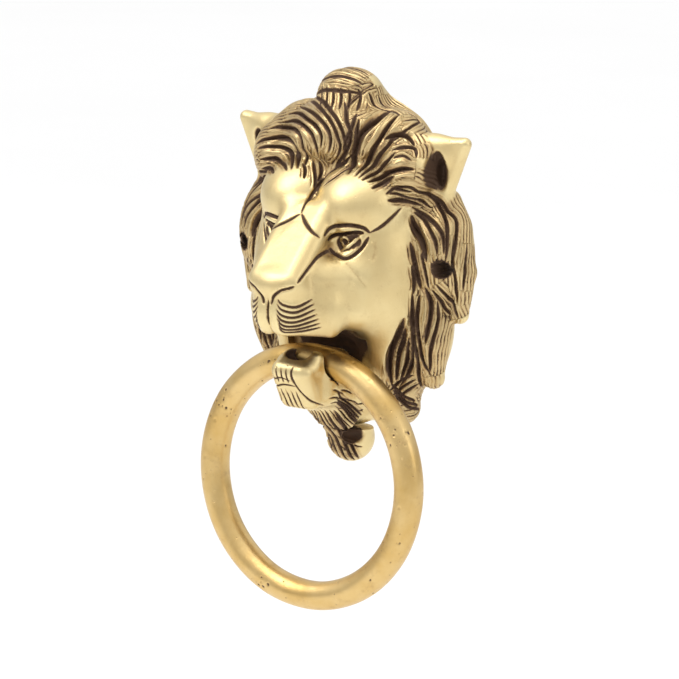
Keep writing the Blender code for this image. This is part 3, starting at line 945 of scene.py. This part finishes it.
class Nodes:
    """Short ways to make shader nodes in one material's tree."""

    def __init__(self, material):
        self.tree = material.node_tree
        self.tree.nodes.clear()

    def make(self, kind, inputs=None, **settings):
        made = self.tree.nodes.new("ShaderNode" + kind)
        for name, value in settings.items():
            setattr(made, name, value)
        for name, value in (inputs or {}).items():
            self.fill(made.inputs[name], value)
        return made

    def fill(self, socket, value):
        if isinstance(value, bpy.types.NodeSocket):
            self.tree.links.new(value, socket)
        else:
            socket.default_value = value

    def math(self, operation, a, b=0.0, c=0.0, clamp=False):
        made = self.make("Math", {0: a, 1: b, 2: c}, operation=operation, use_clamp=clamp)
        return made.outputs[0]

    def step(self, value, low, high):
        """0 below low, 1 above high, and smooth between."""
        made = self.make(
            "MapRange",
            {"Value": value, "From Min": low, "From Max": high},
            interpolation_type="SMOOTHSTEP",
        )
        return made.outputs["Result"]

    def mix(self, share, a, b):
        made = self.make("Mix", data_type="RGBA")
        self.fill(made.inputs[0], share)
        self.fill(made.inputs[6], a)
        self.fill(made.inputs[7], b)
        return made.outputs[2]

    def noise(self, scale, detail=3.0, rough=0.55, stretch=None):
        place = self.make("TexCoord").outputs["Object"]
        if stretch:
            place = self.make("Mapping", {"Vector": place, "Scale": stretch}).outputs[0]
        inputs = {"Vector": place, "Scale": scale, "Detail": detail, "Roughness": rough}
        return self.make("TexNoise", inputs).outputs["Fac"]

    def attribute(self, name):
        return self.make("Attribute", attribute_name=name).outputs["Fac"]

    def pits(self, scale, size):
        """Sparse small holes, 1 at their bottoms."""
        place = self.make("TexCoord").outputs["Object"]
        cells = self.make("TexVoronoi", {"Vector": place, "Scale": scale, "Randomness": 1.0})
        chance = self.make("SeparateColor", {0: cells.outputs["Color"]}).outputs[0]
        keep = self.step(chance, 0.8, 0.9)
        hole = self.step(cells.outputs["Distance"], size, 0.0)
        return self.math("MULTIPLY", keep, hole)

    def bump(self, height, distance):
        inputs = {"Height": height, "Distance": distance, "Strength": 1.0}
        return self.make("Bump", inputs).outputs[0]

    def metal(self, colour, metallic, roughness, normal):
        """The material's surface."""
        inputs = {"Base Color": colour, "Metallic": metallic}
        inputs |= {"Roughness": roughness, "Normal": normal}
        shader = self.make("BsdfPrincipled", inputs)
        self.make("OutputMaterial", {"Surface": shader.outputs[0]})


def rgba(colour):
    return (*colour, 1.0)


def new_material(name):
    material = bpy.data.materials.new(name)
    material.use_nodes = True
    return material


def antique_brass(finish):
    """Polished where hands reach, brown in every recess, painted shade in the deepest hollows,
    combed with fine lines in the hair.
    """
    material = new_material("antique_brass_finish")
    n = Nodes(material)
    cloud = n.noise(45, 3)
    blotch = n.noise(260, 4, 0.6)
    grain = n.noise(1500, 4, 0.6)
    brush = n.noise(900, 3, 0.6, (1.0, 1.0, 0.18))
    recess_value = n.attribute("patina_and_shade")
    polish = n.attribute("polish")
    hair = n.attribute("hair")
    comb_wave = n.math("SINE", n.math("MULTIPLY", n.attribute("comb"), math.tau / COMB_PITCH))
    comb = n.math("MULTIPLY", comb_wave, hair)
    wander = n.math("MULTIPLY_ADD", blotch, 0.7, -0.35)
    # Darker with the recess patina, the hollows' painted shade and blotchy noise.
    grime_and_shade = n.math("ADD", recess_value, wander)
    grime_and_shade = n.math("ADD", grime_and_shade, n.math("MULTIPLY_ADD", grain, 0.3, -0.15))
    grime_and_shade = n.math("SUBTRACT", grime_and_shade, n.math("MULTIPLY", comb, 0.10))
    dark = n.step(grime_and_shade, 0.42, 0.8)
    shade = n.math("MULTIPLY", n.step(grime_and_shade, 0.0, 0.55), 0.72)
    cloudy = n.math("MULTIPLY", n.step(cloud, 0.3, 0.7), 0.5)
    tone = n.math("ADD", cloudy, n.math("MULTIPLY", polish, 0.8), clamp=True)
    metal = n.mix(tone, rgba(finish.honey), rgba(finish.pale))
    metal = n.mix(n.math("MULTIPLY", hair, 0.42), metal, rgba(finish.brown))
    metal = n.mix(shade, metal, rgba(finish.brown))
    colour = n.mix(dark, metal, rgba(finish.patina_and_shade))
    roughness = n.math("MULTIPLY_ADD", grain, 0.16, finish.roughness - 0.08)
    roughness = n.math("ADD", roughness, n.math("MULTIPLY", dark, 0.3))
    roughness = n.math("SUBTRACT", roughness, n.math("MULTIPLY", polish, 0.06))
    metallic = n.math("SUBTRACT", 1.0, n.math("MULTIPLY", dark, 0.7))
    height = n.math("ADD", n.math("MULTIPLY", grain, 0.6), n.math("MULTIPLY", brush, 0.35))
    height = n.math("ADD", height, n.math("MULTIPLY", blotch, 0.8))
    height = n.math("SUBTRACT", height, n.math("MULTIPLY", n.pits(420, 0.16), 2.0))
    height = n.math("ADD", height, n.math("MULTIPLY", comb, 0.9))
    n.metal(colour, metallic, roughness, n.bump(height, finish.grain_depth))
    return material


def ring_brass(finish):
    """Satin cast brass with casting pits, a little browner than the mask."""
    material = new_material("satin_brass_finish")
    n = Nodes(material)
    cloud = n.noise(60, 4)
    blotch = n.noise(220, 5, 0.65)
    grain = n.noise(1300, 4, 0.6)
    pit = n.attribute("pit")
    speckle = n.pits(520, 0.22)
    stain = n.math("MULTIPLY", n.step(blotch, 0.55, 0.75), 0.35)
    metal = n.mix(n.step(cloud, 0.3, 0.7), rgba(finish.ring_deep), rgba(finish.ring))
    metal = n.mix(stain, metal, rgba(finish.brown))
    pitted = n.step(n.math("ADD", pit, n.math("MULTIPLY", grain, 0.3)), 0.45, 0.9)
    dark = n.math("ADD", pitted, n.math("MULTIPLY", speckle, 0.6), clamp=True)
    colour = n.mix(dark, metal, rgba(finish.patina_and_shade))
    roughness = n.math("MULTIPLY_ADD", blotch, 0.22, finish.ring_roughness - 0.11)
    roughness = n.math("ADD", roughness, n.math("MULTIPLY", dark, 0.3))
    metallic = n.math("SUBTRACT", 1.0, n.math("MULTIPLY", dark, 0.6))
    height = n.math("ADD", n.math("MULTIPLY", grain, 0.5), n.math("MULTIPLY", blotch, 1.4))
    height = n.math("SUBTRACT", height, n.math("MULTIPLY", speckle, 2.5))
    n.metal(colour, metallic, roughness, n.bump(height, finish.grain_depth))
    return material


def turned_brass(finish):
    """Machine screws and washers, with fine turning marks and a tarnished bloom."""
    material = new_material("plain_brass_finish")
    n = Nodes(material)
    cloud = n.noise(500, 4)
    marks = n.noise(2600, 2, 0.5, (1.0, 0.05, 1.0))
    bloom = n.step(cloud, 0.5, 0.75)
    colour = n.mix(bloom, rgba(finish.screw), rgba(finish.brown))
    n.metal(colour, 1.0, n.math("MULTIPLY_ADD", cloud, 0.25, 0.22), n.bump(marks, 0.00002))
    return material


def pale_floor():
    material = new_material("studio_floor")
    n = Nodes(material)
    mottle = n.noise(3, 3)
    colour = n.mix(mottle, (0.9, 0.9, 0.9, 1), (0.94, 0.94, 0.94, 1))
    shader = n.make("BsdfPrincipled", {"Base Color": colour, "Roughness": 0.8})
    n.make("OutputMaterial", {"Surface": shader.outputs[0]})
    return material


# ---------------------------------------------------------------- settings


class KnockerFinish(PropertyGroup):
    """Colours and surface of the brass."""

    pale: FloatVectorProperty(
        name="Pale brass",
        description="Where it is rubbed bright",
        subtype="COLOR",
        default=(0.82, 0.69, 0.38),
    )
    honey: FloatVectorProperty(
        name="Honey brass",
        description="The mask's ordinary metal",
        subtype="COLOR",
        default=(0.66, 0.51, 0.25),
    )
    # Brown also paints the shade round the hollows that are darkened as painted shade.
    brown: FloatVectorProperty(
        name="Brown tarnish",
        description="Thin tarnish at a recess's edge",
        subtype="COLOR",
        default=(0.36, 0.22, 0.10),
    )
    # Also paints the shade in the mouth, the ears' slots, the screw holes, the eyes' corners, the
    # lip's notch and the beard's nick.
    patina_and_shade: FloatVectorProperty(
        name="Patina",
        description="Thick tarnish in the recesses",
        subtype="COLOR",
        default=(0.078, 0.040, 0.020),
    )
    ring: FloatVectorProperty(
        name="Ring", description="The ring's metal", subtype="COLOR", default=(0.68, 0.49, 0.22)
    )
    ring_deep: FloatVectorProperty(
        name="Ring, deeper",
        description="The ring's darker clouds",
        subtype="COLOR",
        default=(0.58, 0.38, 0.13),
    )
    screw: FloatVectorProperty(
        name="Screws", description="Screws and washers", subtype="COLOR", default=(0.62, 0.44, 0.20)
    )
    roughness: FloatProperty(
        name="Roughness",
        description="Of the polished mask",
        default=0.41,
        min=0.05,
        max=1.0,
        subtype="FACTOR",
    )
    ring_roughness: FloatProperty(
        name="Ring roughness",
        description="Of the satin ring",
        default=0.36,
        min=0.05,
        max=1.0,
        subtype="FACTOR",
    )
    grain_depth: FloatProperty(
        name="Grain depth",
        description="Height of the finest grain",
        default=0.00009,
        min=0.0,
        max=0.001,
        unit="LENGTH",
        precision=6,
    )


class KnockerSizes(PropertyGroup):
    """Fineness of the meshes and the ring's making."""

    mask_step: FloatProperty(
        name="Mask mesh",
        description="Length of a side of its quads",
        default=0.00045,
        unit="LENGTH",
        precision=5,
    )
    jaw_step: FloatProperty(
        name="Jaw mesh",
        description="Length of a side of its quads",
        default=0.0004,
        unit="LENGTH",
        precision=5,
    )
    mask_triangles: IntProperty(
        name="Mask triangles",
        description="Kept in the mask",
        default=188000,
    )
    jaw_triangles: IntProperty(
        name="Jaw triangles",
        description="Kept in the lower jaw",
        default=70000,
    )
    pit_count: IntProperty(name="Casting pits", description="On the ring", default=90, min=0)
    pit_depth: FloatProperty(
        name="Pit depth",
        description="Of the deepest casting pit",
        default=0.0004,
        unit="LENGTH",
        precision=5,
    )


# ---------------------------------------------------------------- operators


class KNOCKER_OT_mask(Operator):
    """Build the hollow lion mask"""

    bl_idname = "knocker.mask"
    bl_label = "Lion mask"

    def execute(self, context):
        sizes, finish = context.scene.knocker_sizes, context.scene.knocker_finish
        step = sizes.mask_step / MM
        points, quads, values = sculpted(
            capped_head, *HEAD_SPAN, step, head_strokes(), eye_ridges(), painted_shade_and_stain_in_head, mane_zone
        )
        mask = mesh_object("lion_mask_cast", placed(points), quads)
        core_points, core_quads = netted(hollow_field, *HEAD_SPAN, 1.5)
        core_points = settled(core_points, hollow_field, 0.4)
        tools = [
            mesh_object("core", placed(core_points), core_quads),
            cuboid("door", (-FAR, 0, -FAR), (FAR, FAR, FAR)),
            cuboid("jaw_room", (-JAW_ROOM_X, -FAR, -FAR), (JAW_ROOM_X, SEAT_Y, ROOM_TOP_Z)),
            cuboid("chin", (-JAW_ROOM_X, -FAR, -FAR), (JAW_ROOM_X, FAR / 2, CHIN_Z)),
        ]
        for side in (-1, 1):
            hole_x, bore_x = side * SCREW_HOLE_X, side * JAW_SCREW_X
            tools += [
                cylinder("screw_hole", SCREW_HOLE_R, -FAR / 2, FAR / 10, hole_x, 0),
                cylinder("screw_bore", JAW_BORE_R, -FAR / 2, 0, bore_x, JAW_SCREW_Z),
                cylinder("washer_seat", WASHER_SEAT_R, SEAT_BACK_Y, FAR / 10, bore_x, JAW_SCREW_Z),
            ]
        machined(mask, tools, sizes.mask_triangles)
        if max(vertex.co.y for vertex in mask.data.vertices) > 0.5 * MM:
            raise RuntimeError("the mask passes the door's plane: its Booleans failed")
        give_attributes(mask, placed(points), values)
        finished(mask, "head", "antique_brass", antique_brass(finish), "lion_mask")
        return {"FINISHED"}


def trough_tool():
    """The space that the ring's top sweeps as it swings: the wire, spun about the swing axis."""
    steps = 64
    form = bmesh.new()
    profile = []
    for i in range(steps + 1):
        x = TROUGH_REACH * (2 * i / steps - 1)
        sag = RING_R - math.sqrt(RING_R**2 - x**2)
        profile.append(form.verts.new((x * MM, 0, (WIRE_R + TROUGH_CLEARANCE + sag) * MM)))
    ends = [form.verts.new((side * TROUGH_REACH * MM, 0, 0)) for side in (-1, 1)]
    chain = [ends[0], *profile, ends[1]]
    edges = [form.edges.new(pair) for pair in zip(chain, chain[1:])]
    bmesh.ops.spin(
        form, geom=edges, cent=(0, 0, 0), axis=(1, 0, 0), angle=math.tau, steps=96, use_merge=True
    )
    bmesh.ops.remove_doubles(form, verts=form.verts, dist=1e-6)
    bmesh.ops.recalc_face_normals(form, faces=form.faces)
    piece = linked("trough", form)
    piece.location = placed((0, *PIVOT))
    return piece


class KNOCKER_OT_jaw(Operator):
    """Build the lower jaw with its beard"""

    bl_idname = "knocker.jaw"
    bl_label = "Lower jaw"

    def execute(self, context):
        sizes = context.scene.knocker_sizes
        points, quads, values = sculpted(
            jaw_field, *JAW_SPAN, sizes.jaw_step / MM, jaw_strokes(), painted_shade_and_stain=painted_shade_and_stain_in_jaw
        )
        jaw = mesh_object("lower_jaw_cast", placed(points), quads)
        slot = WIRE_R + TROUGH_CLEARANCE
        low = (-FAR, PIVOT[0] - slot, PIVOT[1])
        tools = [
            cuboid("mask_room", (-FAR, SEAT_Y - GAP, CHIN_Z - GAP), (FAR, FAR, FAR)),
            trough_tool(),
            cuboid("drop_in_slot", low, (FAR, PIVOT[0] + slot, FAR)),
        ]
        for side in (-1, 1):
            bore_x = side * JAW_SCREW_X
            tools.append(cylinder("jaw_bore", JAW_BORE_R, SEAT_Y - 10, 0, bore_x, JAW_SCREW_Z))
        machined(jaw, tools, sizes.jaw_triangles)
        give_attributes(jaw, placed(points), values)
        material = bpy.data.materials["antique_brass_finish"]
        finished(jaw, "head", "antique_brass", material, "lower_jaw")
        return {"FINISHED"}


def ring_pits(count):
    """Places round the ring and round its wire, radius and depth share of each casting pit."""
    random = np.random.default_rng(7)
    clusters = np.radians([62, 118, 205, 300, 338])
    turn = random.choice(clusters, count) + random.normal(0, 0.09, count)
    loose = random.random(count) < 0.3
    turn = np.where(loose, random.uniform(0, math.tau, count), turn)
    across = random.normal(math.radians(-70), 1.0, count)
    return turn, across, random.uniform(0.35, 0.95, count), random.uniform(0.4, 1.0, count)


class KNOCKER_OT_ring(Operator):
    """Build the cast ring"""

    bl_idname = "knocker.ring"
    bl_label = "Ring"

    def execute(self, context):
        sizes, finish = context.scene.knocker_sizes, context.scene.knocker_finish
        around, across = 800, 84
        turn = np.linspace(0, math.tau, around, endpoint=False)[:, None]
        roll_angle = np.linspace(0, math.tau, across, endpoint=False)[None]
        wave = np.sin(5 * turn + 1.3) * np.cos(2 * roll_angle)
        wave = wave + np.sin(11 * turn) * np.cos(3 * roll_angle + 0.7)
        flats = np.cos(6 * roll_angle + 0.5 * np.sin(3 * turn))
        wire = WIRE_R * (1 - 0.004) + 0.05 * wave - 0.035 * flats
        wire = np.minimum(wire, WIRE_R + 0.1)
        pit = np.zeros((around, across))
        for at, place, size, share in zip(*ring_pits(sizes.pit_count)):
            along = (np.angle(np.exp(1j * (turn - at)))) * RING_R
            over = np.angle(np.exp(1j * (roll_angle - place))) * WIRE_R
            near = np.clip(1 - np.hypot(along, over * 1.2) / size, 0, 1)
            pit = np.maximum(pit, np.sqrt(near) * share)
        wire = wire - pit * sizes.pit_depth / MM
        reach = RING_R + wire * np.cos(roll_angle)
        x, z = reach * np.sin(turn), reach * np.cos(turn) - RING_R
        y = wire * np.sin(roll_angle)
        points = np.stack([x, y + PIVOT[0], z + PIVOT[1]], -1).reshape(-1, 3)
        index = np.arange(around * across).reshape(around, across)
        onward, beside = np.roll(index, -1, 0), np.roll(index, -1, 1)
        quads = np.stack([index, onward, np.roll(onward, -1, 1), beside], -1).reshape(-1, 4)
        ring = mesh_object("ring_cast", placed(points), quads)
        attribute = ring.data.attributes.new("pit", "FLOAT", "POINT")
        attribute.data.foreach_set("value", pit.ravel().astype(np.float32))
        finished(ring, "knocker_ring", "satin_brass", ring_brass(finish), "ring")
        return {"FINISHED"}


def lathed(name, profile, segments=64):
    """A solid turned about Y from a profile of (radius, y), from axis to axis."""
    form = bmesh.new()
    chain = [form.verts.new((radius * MM, y * MM, 0)) for radius, y in profile]
    edges = [form.edges.new(pair) for pair in zip(chain, chain[1:])]
    bmesh.ops.spin(
        form,
        geom=edges,
        cent=(0, 0, 0),
        axis=(0, 1, 0),
        angle=math.tau,
        steps=segments,
        use_merge=True,
    )
    bmesh.ops.remove_doubles(form, verts=form.verts, dist=1e-6)
    bmesh.ops.recalc_face_normals(form, faces=form.faces)
    return linked(name, form)


def screw_profile(length, head):
    """Cheese head with a chamfer, then a threaded shank, from its tip at Y = 0."""
    profile = [(0, 0), (1.2, 0), (1.7, 0.6)]
    pitch, y = 0.7, 0.6
    while y + pitch < length - head:
        profile += [(1.65, y + 0.1), (2.0, y + pitch / 2), (1.65, y + pitch - 0.1)]
        y += pitch
    top = length - head
    rim = [(3.4, top), (3.6, top + 0.2), (3.6, length - 0.35), (3.25, length)]
    return [*profile, (1.9, top), *rim, (0, length)]


class KNOCKER_OT_fixings(Operator):
    """Build the two screws and washers inside the mask"""

    bl_idname = "knocker.fixings"
    bl_label = "Screws and washers"

    def execute(self, context):
        material = turned_brass(context.scene.knocker_finish)
        for number in (1, 2):
            low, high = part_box(f"jaw_screw_{number}")
            middle = (low + high) / 2
            screw = lathed(f"cheese_head_screw_{number}", screw_profile((high.y - low.y) / MM, 2.6))
            screw.data.transform(Matrix.Translation((middle.x, low.y, middle.z)))
            form = bmesh.new()
            size = Matrix.Diagonal((0.001, 0.002, 0.02, 1))
            turn = Matrix.Rotation(math.radians(25 * number - 60), 4, "Y")
            place = Matrix.Translation((middle.x, high.y, middle.z))
            bmesh.ops.create_cube(form, size=1.0, matrix=place @ turn @ size)
            machined(screw, [linked("slot", form)], 20000, "EXACT")
            finished(screw, "head", "plain_brass", material, f"jaw_screw_{number}", angle=35)
            low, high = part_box(f"jaw_washer_{number}")
            middle = (low + high) / 2
            outer, thick = (high.x - low.x) / 2 / MM, (high.y - low.y) / MM
            edge = 0.12
            profile = [
                (JAW_BORE_R, edge), (JAW_BORE_R + edge, 0), (outer - edge, 0), (outer, edge),
                (outer, thick - edge), (outer - edge, thick), (JAW_BORE_R + edge, thick),
                (JAW_BORE_R, thick - edge), (JAW_BORE_R, edge),
            ]
            washer = lathed(f"flat_washer_{number}", profile)
            washer.data.transform(Matrix.Translation((middle.x, low.y, middle.z)))
            finished(washer, "head", "plain_brass", material, f"jaw_washer_{number}", angle=35)
        return {"FINISHED"}


CAMERA_TURN = math.radians(36.15)
CAMERA_RISE = math.radians(10.1)
CAMERA_LEAN = math.radians(1.5)
CAMERA_AWAY = 2.0
CAMERA_LENS = 304.8
CAMERA_TARGET = Vector((0.0109, -0.029, -0.0888))


def camera_matrix():
    c, s = math.cos(CAMERA_TURN), math.sin(CAMERA_TURN)
    rise = math.cos(CAMERA_RISE)
    back = Vector((s * rise, -c * rise, math.sin(CAMERA_RISE)))
    right = Vector((c, s, 0))
    up = back.cross(right)
    lean_right = right * math.cos(CAMERA_LEAN) + up * math.sin(CAMERA_LEAN)
    lean_up = up * math.cos(CAMERA_LEAN) - right * math.sin(CAMERA_LEAN)
    turn = Matrix((lean_right, lean_up, back)).transposed().to_4x4()
    return Matrix.Translation(CAMERA_TARGET + back * CAMERA_AWAY) @ turn


def soft_light(name, turn, rise, away, size, watts, warmth=(1, 1, 1)):
    """An area light aimed at the knocker from a turn and a rise in degrees."""
    turn, rise = math.radians(turn), math.radians(rise)
    c = math.cos(rise)
    towards = Vector((math.sin(turn) * c, -math.cos(turn) * c, math.sin(rise)))
    lamp = bpy.data.lights.new(name, "AREA")
    lamp.shape = "DISK"
    lamp.size = size
    lamp.energy = watts
    lamp.color = warmth
    shown = bpy.data.objects.new(name, lamp)
    bpy.context.scene.collection.objects.link(shown)
    shown.matrix_world = Matrix.Translation(CAMERA_TARGET + towards * away) @ towards.to_track_quat(
        "Z", "Y"
    ).to_matrix().to_4x4()
    return shown


def studio_sky(world):
    """Bright overhead and dimmer towards the floor, so that the metal shows its form."""
    n = Nodes(world)
    up = n.make("SeparateXYZ", {0: n.make("TexCoord").outputs["Generated"]}).outputs["Z"]
    span = {"From Min": -0.3, "From Max": 0.9, "To Min": 0.38, "To Max": 1.25}
    glow = n.make("MapRange", {"Value": up, **span})
    sky = n.make("Background", {"Color": (1.0, 1.0, 1.0, 1.0), "Strength": glow.outputs["Result"]})
    n.make("OutputWorld", {"Surface": sky.outputs[0]})


class KNOCKER_OT_stage(Operator):
    """Build the floor, the lights and the camera"""

    bl_idname = "knocker.stage"
    bl_label = "Stage"

    def execute(self, context):
        scene = context.scene
        floor_z = CAD_BOX[0][2] - 0.25
        form = bmesh.new()
        place = Matrix.Translation((0, 0, floor_z))
        bmesh.ops.create_grid(form, x_segments=8, y_segments=8, size=12.0, matrix=place)
        floor = linked("studio_floor", form)
        floor.data.materials.append(pale_floor())
        world = bpy.data.worlds.new("studio")
        scene.world = world
        world.use_nodes = True
        studio_sky(world)
        soft_light("key", -35, 48, 1.2, 0.8, 6)
        soft_light("fill", 95, 20, 1.6, 0.8, 2)
        soft_light("top", 20, 80, 1.3, 0.7, 3)
        lens = bpy.data.cameras.new("camera")
        lens.lens = CAMERA_LENS
        lens.sensor_width = 36.0
        lens.clip_end = 50.0
        camera = bpy.data.objects.new("camera", lens)
        scene.collection.objects.link(camera)
        camera.matrix_world = camera_matrix()
        scene.camera = camera
        scene.view_settings.view_transform = "Standard"
        return {"FINISHED"}


class KNOCKER_PT_panel(Panel):
    """Sizes, colours and the steps of the build"""

    bl_label = "Door knocker"
    bl_idname = "KNOCKER_PT_panel"
    bl_space_type = "VIEW_3D"
    bl_region_type = "UI"
    bl_category = "Knocker"

    def draw(self, context):
        for group in (context.scene.knocker_sizes, context.scene.knocker_finish):
            box = self.layout.box()
            for name in group.bl_rna.properties.keys():
                if name not in ("rna_type", "name"):
                    box.prop(group, name)
        for operator in OPERATORS:
            self.layout.operator(operator.bl_idname)


OPERATORS = (KNOCKER_OT_mask, KNOCKER_OT_jaw, KNOCKER_OT_ring, KNOCKER_OT_fixings, KNOCKER_OT_stage)
CLASSES = (KnockerFinish, KnockerSizes, *OPERATORS, KNOCKER_PT_panel)


def register():
    for cls in CLASSES:
        bpy.utils.register_class(cls)
    bpy.types.Scene.knocker_finish = PointerProperty(type=KnockerFinish)
    bpy.types.Scene.knocker_sizes = PointerProperty(type=KnockerSizes)


def unregister():
    del bpy.types.Scene.knocker_sizes
    del bpy.types.Scene.knocker_finish
    for cls in reversed(CLASSES):
        bpy.utils.unregister_class(cls)


def main():
    register()
    bpy.ops.knocker.mask()
    bpy.ops.knocker.jaw()
    bpy.ops.knocker.ring()
    bpy.ops.knocker.fixings()
    bpy.ops.knocker.stage()


if __name__ == "__main__":
    main()
